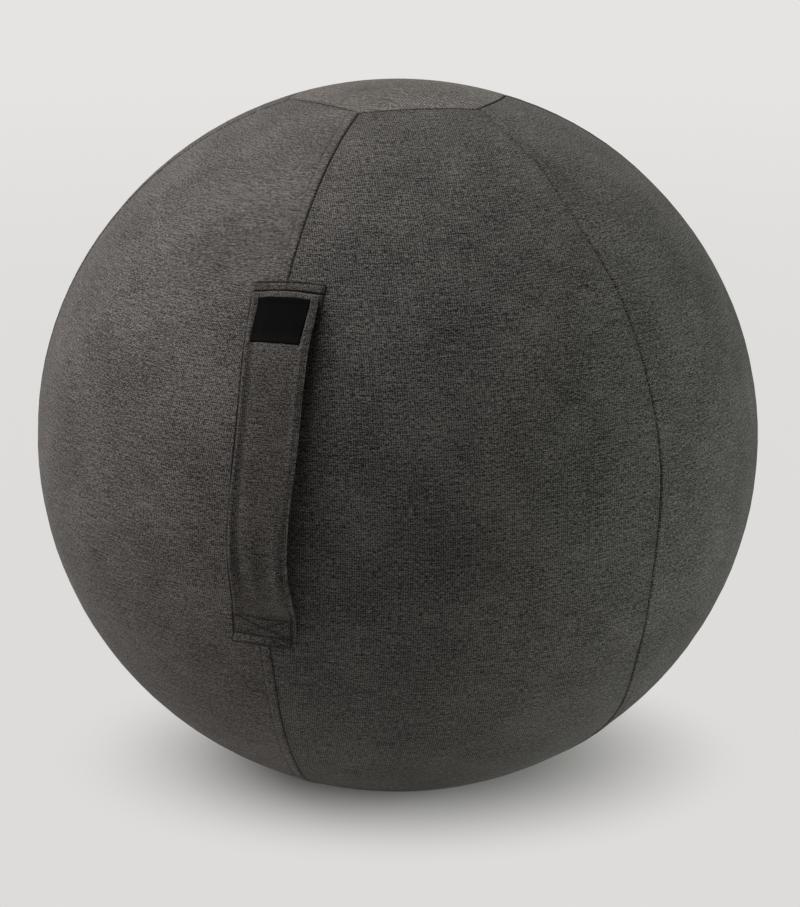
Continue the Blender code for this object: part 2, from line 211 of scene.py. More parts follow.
def mix_colour(tree, share, first, second):
    """Colour between two others, by share."""
    return add(tree, "ShaderNodeMix", {"data_type": "RGBA"}, {0: share, 6: first, 7: second}).outputs[2]


def give_surface(tree, output, looks):
    """Ends a material in one surface with the given looks."""
    surface = add(tree, "ShaderNodeBsdfPrincipled", {}, looks)
    tree.links.new(surface.outputs[0], output.inputs["Surface"])


# Soft PVC, moulded: a smooth, half-glossy skin with a faint grain from the mould.
VINYL_GRAIN = 1.2 * MM
bladder_vinyl, tree, output = new_material("Moulded soft PVC")
where = add(tree, "ShaderNodeTexCoord").outputs["Object"]
grain = add(tree, "ShaderNodeTexNoise", {}, {"Vector": where, "Scale": 1 / VINYL_GRAIN}).outputs["Fac"]
bump = add(tree, "ShaderNodeBump", {}, {"Height": grain, "Strength": 0.2, "Distance": 0.1 * MM}).outputs[0]
give_surface(tree, output, {"Base Color": linear("#3C3E41"), "Normal": bump, "Roughness": 0.42, "IOR": 1.53})
turns, longitudes = np.meshgrid(np.linspace(0, math.pi, BLADDER_ROWS + 1),
                                np.linspace(0, 2 * math.pi, BLADDER_COLUMNS, endpoint=False), indexing="ij")
bladder_lift = bladder_box[1][0] - ball_radius
bladder = grid_object("bladder_skin", on_ball(turns, longitudes, bladder_lift, bladder_box[0][2]), ring=True)
thicken(bladder, BLADDER_WALL)
bladder.data.materials.append(bladder_vinyl)
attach(bladder, "ball")
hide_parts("bladder")

# Valve: a seat moulded into the bladder and a ribbed plug pressed into it, both of firmer white vinyl.
# Their shapes are the construction's own.
valve_vinyl, tree, output = new_material("Moulded firm PVC")
give_surface(tree, output, {"Base Color": linear("#D9D8D4"), "Roughness": 0.38, "IOR": 1.53})
for name in ("valve_seat", "valve_plug"):
    bpy.data.objects[name].data.materials.clear()
    bpy.data.objects[name].data.materials.append(valve_vinyl)

# Cover gores: six leaves of melange cloth, cut from one flat pattern and sewn edge to edge over the bladder.
# Every second leaf has the seam allowances of both its seams folded under it and sewn down by a topstitch,
# so a low band stands beside each seam on that side.
GORES = ("gore_front_right", "gore_right", "gore_back_right",
         "gore_back_left", "gore_left", "gore_front_left")
SEAMS = np.radians((0, 60, 120, 180, 240, 293, 360))
# The two front seams stray from an even course, and are pulled in less hard in places. Each swing gives its
# amount, the angles between which it grows, and those between which it goes. Strays are in degrees too.
SEAM_STRAYS = {0: ((0.6, 95, 103, 150, 162.5), (-14.0, 104, 204, 150, 162.5), (-2.5, 134, 152, 153, 162.5)),
               1: ((3.4, 0, 1, 17.5, 27), (-1.2, 32, 40, 46, 56), (-1.1, 80, 95, 99, 110),
                   (9.5, 108, 140, 143, 161.5))}
SEAM_SLACK = {0: ((0.1, 0, 1, 95, 104), (0.3, 36, 52, 95, 104)),
              1: ((0.68, 0, 1, 94, 112), (-0.33, 76, 82, 86, 91), (0.58, 94, 112, 170, 180))}
CORNER_TURN = math.radians(17.3)
PANEL_BULGE = math.radians(0.8)
CLOTH_THICKNESS = 1.0 * MM
SEAM_DEPTH = 1.1 * MM
SEAM_WIDTH = 0.55 * MM
END_WIDTH = 1.5 * MM
VALLEY_WIDTH = 5.0 * MM
VALLEY_SHADE = 0.18
BAND_WIDTH = 8.5 * MM
BAND_RISE = 0.8 * MM
BAND_RIDGE = 6.3 * MM
RIDGE_WIDTH = 1.7 * MM
# A painted highlight on the band's ridge.
RIDGE_HIGHLIGHT = 0.08
STITCH_DEPTH = 0.8 * MM
STITCH_WIDTH = 0.7 * MM
STITCH_SHADE = 0.55
STITCH_SHADE_WIDTH = 0.8 * MM
NEAR_SEAM = np.array([0, 0.4, 0.8, 1.3, 2.0, 3.0, 4.5, 6.2, 7.3, 7.9, 8.3, 8.7, 9.1, 9.7, 11.0, 14.0]) * MM
GORE_COLUMNS = 12
GORE_ROWS = 44
ZIP_HALF = 6.0 * MM
ZIP_END_CURVE = 9.0 * MM
joints = {joint["name"]: joint for joint in frame["record"]["behaviour"]["joints"]}
zip_axis = Vector(joints["zip_travel"]["pos_m"])


def zip_extent(node):
    """Greatest reach of a zip node from the zip's centre, and its least and greatest bearing."""
    cad = bpy.data.objects[node]
    spots = np.array([cad.matrix_world @ v.co - zip_axis for v in cad.data.vertices])
    reach = np.hypot(spots[:, 1], spots[:, 2])
    bearing = np.arctan2(spots[:, 2], spots[:, 1])
    return reach.max(), bearing.min(), bearing.max()


tape_high, zip_end, zip_start = zip_extent("zip_tape_right")
zip_turns = []
for bearing in (zip_start, zip_end):
    zip_turns.append(math.acos((zip_axis.z + tape_high * math.sin(bearing) - centre.z) / half_height))


def smooth(value, low, high):
    """Smooth step from 0 at low to 1 at high."""
    step = np.clip((value - low) / (high - low), 0, 1)
    return step * step * (3 - 2 * step)


def smooth_turn(turn, low, high):
    """Smooth step by angle down the ball, with its limits in degrees."""
    return smooth(turn, math.radians(low), math.radians(high))


def hump(value, middle, width):
    """Smooth hump: 1 at its middle, fading away over its width."""
    return np.exp(-((value - middle) / width) ** 2)


def hump_turn(turn, middle, width):
    """Smooth hump by angle down the ball, with its middle and width in degrees."""
    return hump(turn, math.radians(middle), math.radians(width))


def seam_swing(swings, number, turn):
    """Sum of a seam's swings, by angle."""
    total = np.zeros_like(turn)
    for amount, start, full, back, end in swings.get(number % len(GORES), ()):
        total = total + amount * smooth_turn(turn, start, full) * (1 - smooth_turn(turn, back, end))
    return total


def seam_at(number, turn):
    """Longitude of a seam by angle. A sewn seam strays a few degrees from an even course."""
    return SEAMS[number] + np.radians(seam_swing(SEAM_STRAYS, number, turn))


top_corners = np.array([seam_at(number, CORNER_TURN) for number in range(len(SEAMS))])
base_corners = np.array([seam_at(number, math.pi - CORNER_TURN) for number in range(len(SEAMS))])


def panel_edge(corners, number, longitude):
    """How far from the pole a leaf meets an end panel, whose edges bulge a little from corner to corner."""
    half = (corners[number + 1] - corners[number]) / 2
    aside = longitude - (corners[number + 1] + corners[number]) / 2
    straight = np.arctan(math.tan(CORNER_TURN) * np.cos(half) / np.cos(aside))
    return straight + PANEL_BULGE * (1 - (aside / half) ** 2)


def seam_lift(distance, topstitched, tight=1.0):
    """Height of the cloth near a seam. It dives into the join, and a topstitched band stands up beside it."""
    lift = -SEAM_DEPTH * tight * hump(distance, 0.0, SEAM_WIDTH)
    if topstitched:
        band = 1 - smooth(distance, BAND_WIDTH, BAND_WIDTH + 1.2 * MM)
        lift = lift + BAND_RISE * band * smooth(distance, 0.3 * MM, 2.2 * MM)
        lift = lift - STITCH_DEPTH * tight * hump(distance, BAND_WIDTH, STITCH_WIDTH)
    return lift


def between(low, high, index, middle, scale):
    """Places from low to high: in fine steps near both ends, and evenly over the middle ones."""
    fine = len(NEAR_SEAM)
    last = 2 * fine + middle - 1
    from_low = low + NEAR_SEAM[np.clip(index, 0, fine - 1)] / scale
    from_high = high - NEAR_SEAM[np.clip(last - index, 0, fine - 1)] / scale
    share = np.clip((index - fine + 1) / (middle + 1), 0, 1)
    return from_low * (1 - share) + from_high * share


def zip_gap(turn, name, side):
    """How far a back leaf's edge stands off its seam to make room for the zip, by angle."""
    if (name, side) not in (("gore_back_right", 1), ("gore_back_left", -1)):
        return np.zeros_like(turn)
    half = ZIP_END_CURVE / ball_radius / 2
    opened = smooth(turn, zip_turns[0] - half, zip_turns[0] + half)
    return ZIP_HALF * opened * (1 - smooth(turn, zip_turns[1] - half, zip_turns[1] + half))


# Melange cloth: a plain weave of spun polyester in two close greys, warm and matt, with a short fuzz.
# The threads are thick and thin, so the cloth is peppered with light and dark, in short dashes both ways.
# The real threads are about 0.7 mm apart; they are drawn at 0.9 mm, and the ribs at twice that, to show.
# The three left leaves, the top and the handle are drawn paler; the top is paler still, as a painted
# highlight where it faces the light from above.
# Along a line of sewing the colour is painted darker, as painted shade in the groove where the thread shows;
# the band's ridge is painted paler, as a painted highlight.
THREAD_PITCH = 0.9 * MM
WEFT_DASH = 4.0 * MM
WEFT_PITCH = 0.66 * MM
WARP_DASH = 2.0 * MM
SPECK = (0.9 * MM, 0.75 * MM)
SLUB = (24.0 * MM, 1.0 * MM)
BLOTCH = 60.0 * MM
RIB_WEIGHT = 0.22
TONE_LOW = 2.14
TONE_HIGH = 2.75
TONE_POWER = 1.6
# The colour of the dark thread, and of the painted shade along the sewing.
THREAD_AND_SHADE_COLOUR = "#171514"
SEAM_DARKNESS = 0.75
YARNS = (((WEFT_DASH, WEFT_PITCH), 1.3), ((THREAD_PITCH, WARP_DASH), 0.9), (SPECK, 1.5), (SLUB, 0.7),
         ((BLOTCH, BLOTCH), 0.25))


def melange_cloth(name, dark, light):
    """Matt woven cloth between a dark and a light thread colour."""
    made, tree, output = new_material(name)
    flat = add(tree, "ShaderNodeAttribute", {"attribute_name": "weave"}).outputs["Vector"]
    tone = add(tree, "ShaderNodeTexWave", {},
               {"Vector": flat, "Scale": 0.1 * math.pi / (2 * THREAD_PITCH)}).outputs["Fac"]
    tone = add(tree, "ShaderNodeMath", {"operation": "MULTIPLY"}, {0: tone, 1: RIB_WEIGHT}).outputs[0]
    for (across, along), weight in YARNS:
        scaled = add(tree, "ShaderNodeVectorMath", {"operation": "MULTIPLY"},
                     {0: flat, 1: (1 / across, 1 / along, 1.0)}).outputs[0]
        yarn = add(tree, "ShaderNodeTexNoise", {}, {"Vector": scaled, "Scale": 1.0, "Detail": 1.0})
        tone = add(tree, "ShaderNodeMath", {"operation": "MULTIPLY_ADD"},
                   {0: yarn.outputs["Fac"], 1: weight, 2: tone}).outputs[0]
    share = add(tree, "ShaderNodeMapRange", {},
                {"Value": tone, "From Min": TONE_LOW, "From Max": TONE_HIGH}).outputs["Result"]
    share = add(tree, "ShaderNodeMath", {"operation": "POWER"}, {0: share, 1: TONE_POWER}).outputs[0]
    colour = mix_colour(tree, share, linear(dark), linear(light))
    # Painted shade along sewing, mixed towards the dark thread's colour; below 0, a painted highlight.
    painted_shade = add(tree, "ShaderNodeAttribute", {"attribute_name": "painted_shade"}).outputs["Fac"]
    painted_highlight = add(tree, "ShaderNodeMath", {"operation": "MULTIPLY"}, {0: painted_shade, 1: -1.0}).outputs[0]
    colour = mix_colour(tree, painted_highlight, colour, linear(light))
    painted_shade = add(tree, "ShaderNodeMath", {"operation": "MULTIPLY"}, {0: painted_shade, 1: SEAM_DARKNESS}).outputs[0]
    colour = mix_colour(tree, painted_shade, colour, linear(THREAD_AND_SHADE_COLOUR))
    bump = add(tree, "ShaderNodeBump", {}, {"Height": tone, "Strength": 0.3, "Distance": 0.3 * MM}).outputs[0]
    give_surface(tree, output, {"Base Color": colour, "Normal": bump, "Roughness": 0.9,
                                "Specular IOR Level": 0.2, "Sheen Weight": 0.15, "Sheen Roughness": 0.5,
                                "Sheen Tint": linear("#D8D2CC")})
    return made


# The weave's third coordinate picks another stretch of the cloth for each piece that is cut from it.
# It is a whole number, because only there the noise is equally fine on every piece.
LEAF_STRETCH = 11.0
cover_cloth = melange_cloth("Melange woven polyester", "#0F0E0D", "#8C8783")
pale_cloth = melange_cloth("Melange woven polyester, pale", "#242120", "#938D88")
for number, name in enumerate(GORES):
    middle = (SEAMS[number] + SEAMS[number + 1]) / 2
    topstitched = number % 2 == 1
    row, column = np.indices((2 * len(NEAR_SEAM) + GORE_ROWS, 2 * len(NEAR_SEAM) + GORE_COLUMNS))
    turns = np.full(row.shape, math.pi / 2)
    for attempt in range(6):
        across = np.sin(turns) * ball_radius
        left = seam_at(number, turns) + zip_gap(turns, name, -1) / across
        right = seam_at(number + 1, turns) - zip_gap(turns, name, 1) / across
        longitudes = between(left, right, column, GORE_COLUMNS, across)
        top_edge = panel_edge(top_corners, number, longitudes)
        base_edge = math.pi - panel_edge(base_corners, number, longitudes)
        turns = between(top_edge, base_edge, row, GORE_ROWS, ball_radius)
    from_sides = ((longitudes - left) * across, (right - longitudes) * across)
    from_ends = ((turns - top_edge) * ball_radius, (base_edge - turns) * ball_radius)
    tight = (1 - seam_swing(SEAM_SLACK, number, turns), 1 - seam_swing(SEAM_SLACK, number + 1, turns))
    lift = seam_lift(from_sides[0], topstitched, tight[0]) + seam_lift(from_sides[1], topstitched, tight[1])
    for from_end in from_ends:
        lift = np.maximum(lift + seam_lift(from_end, False), -SEAM_DEPTH)
    from_side = np.minimum(*from_sides)
    tight = np.where(from_sides[0] < from_sides[1], *tight)
    # Painted shade in the seam groove, at the panel seams, along the topstitch and beside a plain seam; a
    # painted highlight on the band's ridge.
    painted_shade = tight * hump(from_side, 0.0, SEAM_WIDTH)
    painted_shade = np.maximum(painted_shade, hump(np.minimum(*from_ends), 0.0, END_WIDTH))
    if topstitched:
        painted_shade = np.maximum(painted_shade, STITCH_SHADE * tight * hump(from_side, BAND_WIDTH, STITCH_SHADE_WIDTH))
        painted_shade = painted_shade - RIDGE_HIGHLIGHT * hump(from_side, BAND_RIDGE, RIDGE_WIDTH)
    else:
        painted_shade = np.maximum(painted_shade, VALLEY_SHADE * hump(from_side, 0.0, VALLEY_WIDTH))
    weave = np.stack(np.broadcast_arrays((longitudes - middle) * across, turns * ball_radius,
                                         number * LEAF_STRETCH), -1)
    gore = grid_object(name + "_cloth", on_ball(turns, longitudes, lift), weave, painted_shade)
    thicken(gore, CLOTH_THICKNESS)
    gore.data.materials.append(pale_cloth if number >= 3 else cover_cloth)
    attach(gore, "ball")
    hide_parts(name)

# End panels: a hexagon of the cover cloth at the top, and one of coated non-slip cloth at the base.
# Each is sewn to the six leaves along its edges, with its allowances turned inside.
PANEL_COLUMNS = 16
PANEL_ROWS = 9
# The panels are always seen at a low angle, so their weave is drawn coarser than on the leaves.
PANEL_GRAIN = 0.75
PANEL_STRETCH = 5.0
# The top's cloth is painted paler than the leaves, as a painted highlight where it faces the light above.
top_cloth = melange_cloth("Melange woven polyester, top", "#2D2A28", "#A39C95")
base_cloth = melange_cloth("Coated woven polyester", "#1A1918", "#3A3835")
for name, slot, cloth, corners in (("top_panel", "cover_cloth", top_cloth, top_corners),
                                   ("base_panel", "base_cloth", base_cloth, base_corners)):
    number = np.repeat(np.arange(len(GORES)), PANEL_COLUMNS)
    share = np.tile(np.arange(PANEL_COLUMNS) / PANEL_COLUMNS, len(GORES))
    longitudes = corners[number] + (corners[number + 1] - corners[number]) * share
    edge = panel_edge(corners, number, longitudes)
    inner = np.linspace(0, 1, PANEL_ROWS)[:-1, None] * (edge - NEAR_SEAM[-1] / ball_radius)
    turns = np.concatenate([inner, edge - NEAR_SEAM[::-1, None] / ball_radius])
    lift = seam_lift((edge - turns) * ball_radius, False)
    # Painted shade along the panel's seam.
    painted_shade = hump((edge - turns) * ball_radius, 0.0, END_WIDTH)
    reach = turns * ball_radius * PANEL_GRAIN
    weave = np.stack(np.broadcast_arrays(reach * np.sin(longitudes), reach * np.cos(longitudes),
                                         PANEL_STRETCH), -1)
    if name == "base_panel":
        turns, lift, weave, painted_shade = math.pi - turns[::-1], lift[::-1], weave[::-1], painted_shade[::-1]
    panel = grid_object(name + "_cloth", on_ball(turns, longitudes, lift), weave, painted_shade, ring=True)
    thicken(panel, CLOTH_THICKNESS)
    panel.data.materials.append(cloth)
    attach(panel, "ball")
    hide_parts(name)

# Topstitching: lockstitch rows in a dark spun thread, along both bands of every second leaf.
# Each stitch lies on the cloth and dives into it at both ends.
THREAD_WIDTH = 0.6 * MM
STITCH_LENGTH = 3.3 * MM
STITCH_GAP = 0.9 * MM
thread, tree, output = new_material("Spun polyester thread")
give_surface(tree, output, {"Base Color": linear("#2A2725"), "Roughness": 0.75, "Specular IOR Level": 0.3,
                            "Sheen Weight": 0.15})


def close_rings(faces, first, sides):
    """Adds the faces of one closed shape of four rings, from its first point."""
    for near in range(first, first + 3 * sides, sides):
        for corner in range(sides):
            following = (corner + 1) % sides
            faces.append((near + corner, near + following, near + sides + following, near + sides + corner))
    faces.append(tuple(range(first + sides - 1, first - 1, -1)))
    faces.append(tuple(range(first + 3 * sides, first + 4 * sides)))


def stitches(name, rows):
    """Single stitches along rows. A row is points on the cloth, and the outward direction at each of them."""
    vertices, faces = [], []
    for points, outs in rows:
        run = np.concatenate([[0], np.cumsum(np.linalg.norm(np.diff(points, axis=0), axis=1))])
        for start in np.arange(STITCH_GAP, run[-1] - STITCH_LENGTH, STITCH_LENGTH + STITCH_GAP):
            stations = start + STITCH_LENGTH * np.array([0.0, 0.25, 0.75, 1.0])
            spots = np.stack([np.interp(stations, run, points[:, axis]) for axis in range(3)], -1)
            out = np.stack([np.interp(stations, run, outs[:, axis]) for axis in range(3)], -1)
            side = np.cross(spots[-1] - spots[0], out[0])
            side /= np.linalg.norm(side)
            close_rings(faces, len(vertices), 4)
            for spot, up, sink, swell in zip(spots, out, (-0.5, 0.1, 0.1, -0.5), (0.3, 1.0, 1.0, 0.3)):
                for corner in range(4):
                    angle = math.pi * (corner + 0.5) / 2
                    spread = side * math.cos(angle) + up * math.sin(angle)
                    vertices.append(spot + (up * sink * 2 + spread * swell) * THREAD_WIDTH / 2)
    made = closed_object(name, vertices, faces)
    made.data.materials.append(thread)
    return made


for number, name in enumerate(GORES):
    if number % 2 == 0:
        continue
    rows = []
    turns = np.linspace(CORNER_TURN + 0.03, math.pi - CORNER_TURN - 0.03, 240)
    for side, seam in ((-1, number), (1, number + 1)):
        inset = (BAND_WIDTH + zip_gap(turns, name, side)) / (np.sin(turns) * ball_radius)
        longitudes = seam_at(seam, turns) - side * inset
        tight = 1 - seam_swing(SEAM_SLACK, seam, turns)
        points = on_ball(turns, longitudes, seam_lift(np.array(BAND_WIDTH), True, tight))
        outs = (on_ball(turns, longitudes, 1.0, -9.0) - on_ball(turns, longitudes, 0.0, -9.0))
        rows.append((points, outs))
    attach(stitches(name + "_topstitch", rows), "ball")

# Zip: two woven tapes with a moulded nylon coil on each, set into the back seam so the bladder can go in.
# The cover's edges are folded under and sewn down on the tapes, which run on beneath the cloth.
TAPE_INNER = 0.8 * MM
TAPE_WIDTH = 12.0 * MM
TAPE_THICKNESS = 0.7 * MM
TAPE_TUCK = 1.25 * MM
TOOTH_PITCH = 1.6 * MM
TOOTH_LENGTH = 1.15 * MM
TOOTH_LAP = 0.5 * MM
ZIP_STEPS = 90


def zip_spot(bearing, across, reach):
    """Points of the zip, by bearing round its centre, across from the seam, and reach from its centre."""
    bearing, across, reach = np.broadcast_arrays(bearing, across, reach)
    return np.stack([across, zip_axis.y + reach * np.cos(bearing), zip_axis.z + reach * np.sin(bearing)], -1)


# Woven polyester tape: fine cross ribs, flat and matt. The ribs are about 0.5 mm; they are drawn at 1 mm.
TAPE_RIB = 1.0 * MM
tape_cloth, tree, output = new_material("Woven polyester tape")
flat = add(tree, "ShaderNodeAttribute", {"attribute_name": "weave"}).outputs["Vector"]
rib = add(tree, "ShaderNodeTexWave", {"bands_direction": "Y"},
          {"Vector": flat, "Scale": 1 / TAPE_RIB / 3.0, "Distortion": 0.4}).outputs["Fac"]
colour = mix_colour(tree, rib, linear("#1F1D1C"), linear("#393633"))
bump = add(tree, "ShaderNodeBump", {}, {"Height": rib, "Strength": 0.4, "Distance": 0.2 * MM}).outputs[0]
give_surface(tree, output, {"Base Color": colour, "Normal": bump, "Roughness": 0.85,
                            "Specular IOR Level": 0.25})
bearings = np.linspace(zip_start, zip_end, ZIP_STEPS)[:, None]
for name, side in (("zip_tape_right", 1), ("zip_tape_left", -1)):
    across = np.array([TAPE_INNER, 3.6 * MM, 5.4 * MM, 6.2 * MM, 7.2 * MM, 9.0 * MM, TAPE_INNER + TAPE_WIDTH])
    across = across[::-side]
    reach = tape_high - TAPE_TUCK * smooth(across, 5.4 * MM, 7.4 * MM)
    weave = np.stack(np.broadcast_arrays(side * across, bearings * tape_high, 0.0), -1)
    tape = grid_object(name + "_cloth", zip_spot(bearings, side * across, reach), weave)
    thicken(tape, TAPE_THICKNESS)
    tape.data.materials.append(tape_cloth)
    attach(tape, "ball")
    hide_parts(name)

# Nylon coil, moulded and dyed black: round hard teeth with a low gloss.
zip_nylon, tree, output = new_material("Moulded nylon")
give_surface(tree, output, {"Base Color": linear("#1B1A1A"), "Roughness": 0.35, "IOR": 1.53})
coil_high, coil_end, coil_start = zip_extent("zip_coil_right")
coil_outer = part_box("zip_coil_right")[1][0]
tooth_count = int((coil_start - coil_end) * coil_high / TOOTH_PITCH)
for name, side in (("zip_coil_right", 1), ("zip_coil_left", -1)):
    vertices, faces = [], []
    for tooth in range(tooth_count):
        bearing = coil_start - (tooth + (0.25 if side > 0 else 0.75)) * TOOTH_PITCH / coil_high
        rise = (coil_high - tape_high) / 2
        close_rings(faces, len(vertices), 6)
        for across, swell in ((-TOOTH_LAP, 0.55), (0.1 * MM, 1.0),
                              (coil_outer - 0.6 * MM, 1.0), (coil_outer, 0.6)):
            for corner in range(6):
                angle = 2 * math.pi * corner / 6
                tooth_bearing = bearing + swell * TOOTH_LENGTH / 2 / coil_high * math.cos(angle)
                tooth_reach = tape_high + rise * (1 + swell * math.sin(angle))
                vertices.append(zip_spot(tooth_bearing, side * across, tooth_reach))
    coil = closed_object(name + "_teeth", vertices, faces)
    coil.data.materials.append(zip_nylon)
    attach(coil, "ball")
    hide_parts(name)

# Zip slider, pull and stops: die-cast zinc, black-plated, so dark, smooth and half glossy.
# Their shapes are the construction's own, with their edges rounded off.
zip_metal, tree, output = new_material("Black-plated zinc")
give_surface(tree, output, {"Base Color": linear("#4A4847"), "Metallic": 1.0, "Roughness": 0.34})
for name in ("zip_slider", "zip_pull", "zip_top_stop_right", "zip_top_stop_left", "zip_bottom_stop"):
    metal = bpy.data.objects[name]
    metal.data.materials.clear()
    metal.data.materials.append(zip_metal)
    edges = metal.modifiers.new("Softened edges", "BEVEL")
    edges.width = 0.25 * MM
    edges.segments = 2
    edges.limit_method = "ANGLE"

# Handle: one strap of the cover cloth, folded into a sleeve round a flat webbing, and sewn to the front seam.
# Its top is folded under and sewn along a thin hem; its foot is sewn flat with a crossed box of stitches.
# Between them it stands off the ball, with a slack belly low down, and bows a little to one side.
STRAP_TOP = math.radians(54.1)
STRAP_MIDDLE = math.radians(77.5)
STRAP_FOOT = math.radians(104.3)
STRAP_THICKNESS = 4.4 * MM
STRAP_HALF = 25.8 * MM
STRAP_ASIDE = 2.1 * MM
STRAP_BOW = 6.3 * MM
TOP_SEAT = 2.5 * MM
STAND_OFF = 8.7 * MM
BELLY_RISE = 1.4 * MM
FOOT_SEAT = 0.5 * MM
FOOT_LIP = 4.5 * MM
FOOT_PRESSED = 1.4 * MM
EDGE_STITCH = 3.4 * MM
EDGE_SEAM = 1.5 * MM
SEAM_ROUND = 0.6 * MM
STRAP_GRAIN = (1.35, 1.1)
STRAP_STRETCH = 3.0
BOX_TOP = math.radians(99.9)
BOX_FOOT = math.radians(103.05)
BOX_INSET = 4.4 * MM
HEM_TOP = math.radians(52.0)
HEM_STITCH = math.radians(53.75)
HEM_EDGE = 2.4 * MM
HEM_HALF = 29.0 * MM
HEM_THICKNESS = 2.9 * MM
DENT_DEPTH = 1.6 * MM
DENT_WIDTH = 0.7 * MM
FACE_COLUMNS = 61
BACK_COLUMNS = 13
EDGE_COLUMNS = 5


def top_bend(turn, across):
    """How much further down the ball the strap's top is sewn. It is tilted, and arched at the hem."""
    share = across / HEM_HALF
    tilt = -1.2 * MM * share * (1 - smooth_turn(turn, 56, 66))
    return tilt + (2.0 * share ** 2 - 1.0) * MM * (1 - smooth(turn, STRAP_TOP, math.radians(58)))


def strap_rise(turn):
    """How far the strap's inner face stands off the cover, by angle. The foot's free edge curls out."""
    lift = TOP_SEAT + STAND_OFF * smooth_turn(turn, 51.5, 64) + BELLY_RISE * hump_turn(turn, 86, 6)
    flat = smooth_turn(turn, 91.5, 100.5)
    return lift * (1 - flat) + FOOT_SEAT * flat + FOOT_LIP * smooth(turn, BOX_FOOT, STRAP_FOOT)


def strap_half(turn):
    """Half the strap's width, by angle: wide at the top fold, narrow at the belly, and spread at the foot."""
    half = STRAP_HALF + 1.9 * MM * hump(turn, STRAP_TOP, math.radians(8))
    return half - 0.9 * MM * hump_turn(turn, 87, 6) + 1.6 * MM * smooth_turn(turn, 93, 100)


def strap_thick(turn):
    """The strap's thickness, by angle: plump at the top fold, and pressed flat where the foot is sewn."""
    plump = 1.5 * MM * hump_turn(turn, 55, 0.9)
    return STRAP_THICKNESS + plump - FOOT_PRESSED * smooth_turn(turn, 96, 99.5)


def strap_spot(turn, across, height):
    """Points of the strap: by angle, across from its middle line, and out from its inner face. Low down its
    right edge is twisted and curled a little off the ball."""
    turn, across, height = np.broadcast_arrays(turn, across, height)
    turn = turn + top_bend(turn, across) / ball_radius
    before, after = turn - 0.002, turn + 0.002
    along = on_ball(after, 0.0, strap_rise(after)) - on_ball(before, 0.0, strap_rise(before))
    along /= np.linalg.norm(along, axis=-1, keepdims=True)
    out = np.cross(along, (1.0, 0.0, 0.0))
    share = np.clip((turn - STRAP_TOP) / (STRAP_FOOT - STRAP_TOP), 0, 1)
    aside = across + STRAP_ASIDE + STRAP_BOW * np.sin(math.pi * share ** 0.85)
    aside = aside - 2.4 * MM * smooth_turn(turn, 72, 86)
    aside = aside + 1.9 * MM * smooth_turn(turn, 88, 95)
    aside = aside - 1.2 * MM * smooth(turn, math.radians(97), BOX_TOP)
    cupped = aside ** 2 / ball_radius / 2
    twist = 3.5 * MM * smooth_turn(turn, 86, 94) * (1 - smooth(turn, math.radians(96), BOX_TOP))
    curl = 2.0 * MM * smooth(across, 21 * MM, 29 * MM) * smooth(turn, math.radians(94), BOX_TOP)
    height = height - cupped + twist * smooth(across, -12 * MM, 29 * MM) + curl
    return on_ball(turn, 0.0, strap_rise(turn)) + aside[..., None] * (1, 0, 0) + height[..., None] * out


def strap_dent(turn, across):
    """How deep the strap's face is drawn in by its stitching, from 0 to 1, down both edges and in the foot's
    box. The left row is tightest below the label and at the foot, and the right one only at the foot."""
    turn, across = np.broadcast_arrays(turn, across)
    from_edge = strap_half(turn) - np.abs(across)
    slack = smooth_turn(turn, 78, 82) * (1 - smooth_turn(turn, 90, 94))
    tight = np.where(across < 0, 0.5 + 0.35 * smooth_turn(turn, 68, 74) - 0.72 * slack,
                     0.12 + 0.88 * smooth_turn(turn, 97, 98.5))
    line = np.where(across < 0, EDGE_SEAM, EDGE_STITCH)
    wide = DENT_WIDTH * (1 + 1.3 * smooth(turn, BOX_TOP - 0.012, BOX_TOP))
    edge_dent = tight * hump(from_edge, line, wide)
    box_half = strap_half(turn) - BOX_INSET
    down = (turn - BOX_TOP) * ball_radius
    tall = (BOX_FOOT - BOX_TOP) * ball_radius
    slant = tall / (2 * box_half)
    lean = np.hypot(1, slant)
    lines = [np.abs(down), np.abs(down - tall), np.abs(down - (across + box_half) * slant) / lean,
             np.abs(tall - down - (across + box_half) * slant) / lean]
    inside = (np.abs(across) < box_half + 1 * MM) & (down > -1.5 * MM) & (down < tall + 1.5 * MM)
    box_dent = np.where(inside, 0.75 * hump(np.min(lines, axis=0), 0.0, DENT_WIDTH), 0.0)
    return np.maximum(edge_dent, box_dent)


def face_height(turn, across):
    """Height of the strap's outer face: rolled up along its edges, with soft folds down its slack belly."""
    turn, across = np.broadcast_arrays(turn, across)
    from_edge = strap_half(turn) - np.abs(across)
    foot = smooth(turn, BOX_TOP - 0.012, BOX_TOP)
    height = strap_thick(turn) + 0.25 * MM * smooth(from_edge, EDGE_STITCH, 3 * EDGE_STITCH) * (1 - foot)
    rolled = np.where(across < 0, 0.9 * MM, 0.7 * MM * (1 - smooth_turn(turn, 72, 90)))
    valley = np.where(across < 0, 1.1, 0.3) * hump(from_edge, 9.5 * MM, 3.5 * MM)
    height = height + rolled * (1 - foot) * (hump(from_edge, 4 * MM, 2 * MM) - valley)
    folds = sum(depth * hump(across, place, 5 * MM)
                for place, depth in ((-14 * MM, -1.0 * MM), (-3 * MM, 1.2 * MM), (18 * MM, 1.8 * MM)))
    height = height + folds * hump_turn(turn, 91.5, 4.5)
    return height - (DENT_DEPTH - 0.6 * MM * foot) * strap_dent(turn, across)


